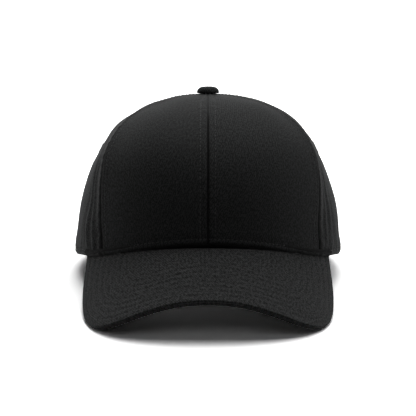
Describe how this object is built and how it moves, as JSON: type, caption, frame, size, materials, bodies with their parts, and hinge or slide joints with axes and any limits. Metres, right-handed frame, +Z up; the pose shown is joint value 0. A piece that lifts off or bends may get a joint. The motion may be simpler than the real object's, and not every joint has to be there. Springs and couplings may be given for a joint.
{
  "type": "baseball cap",
  "caption": "Structured six-panel baseball cap with a curved visor, covered top button, sweatband and an adjustable rear strap with a flip buckle.",
  "frame": {"origin": "on the surface the cap stands on, below the middle of its length and width", "axes": "+Y towards the back of the cap, so the visor points along -Y; +Z up; +X towards the wearer's left"},
  "size_m": [0.181, 0.2607, 0.124],
  "materials": {
    "cotton_twill": "matt woven cotton twill, piece dyed",
    "buckram": "stiff open weave, sized, charcoal",
    "seam_tape": "matt plain-weave cotton tape",
    "sweatband": "matt brushed cotton twill, padded",
    "visor_board": "die-cut polyethylene sheet",
    "buckle_metal": "satin, dark nickel plated",
    "steel": "satin"
  },
  "bodies": {
    "crown": {"front_panel_left": "cotton_twill", "front_panel_right": "cotton_twill", "side_panel_left": "cotton_twill", "side_panel_right": "cotton_twill", "back_panel_left": "cotton_twill", "back_panel_right": "cotton_twill", "visor_top_cover": "cotton_twill", "visor_under_cover": "cotton_twill", "button_cover": "cotton_twill", "eyelet_side_left": "cotton_twill", "eyelet_side_right": "cotton_twill", "eyelet_back_left": "cotton_twill", "eyelet_back_right": "cotton_twill", "buckle_tab": "cotton_twill", "buckram_left": "buckram", "buckram_right": "buckram", "center_seam_tape": "seam_tape", "front_seam_tape_left": "seam_tape", "front_seam_tape_right": "seam_tape", "rear_seam_tape_left": "seam_tape", "rear_seam_tape_right": "seam_tape", "arch_binding": "seam_tape", "sweatband": "sweatband", "visor_board": "visor_board", "buckle_frame": "buckle_metal", "button_core": "steel", "button_washer": "steel", "buckle_pin": "steel"},
    "strap": {"strap": "cotton_twill"},
    "lever": {"buckle_lever": "buckle_metal"}
  },
  "joints": [
    {"name": "strap_slide", "type": "hinge", "parent": "crown", "child": "strap", "pos_m": [0, 0.04317, 0.02524], "axis": [0, 0.1447, 0.9895], "range_deg": [-9.51, 9.51]},
    {"name": "lever_hinge", "type": "hinge", "parent": "crown", "child": "lever", "pos_m": [-0.01095, 0.12796, 0.01305], "axis": [-0.0284, -0.0207, -0.9994], "range_deg": [0, 110]}
  ]
}
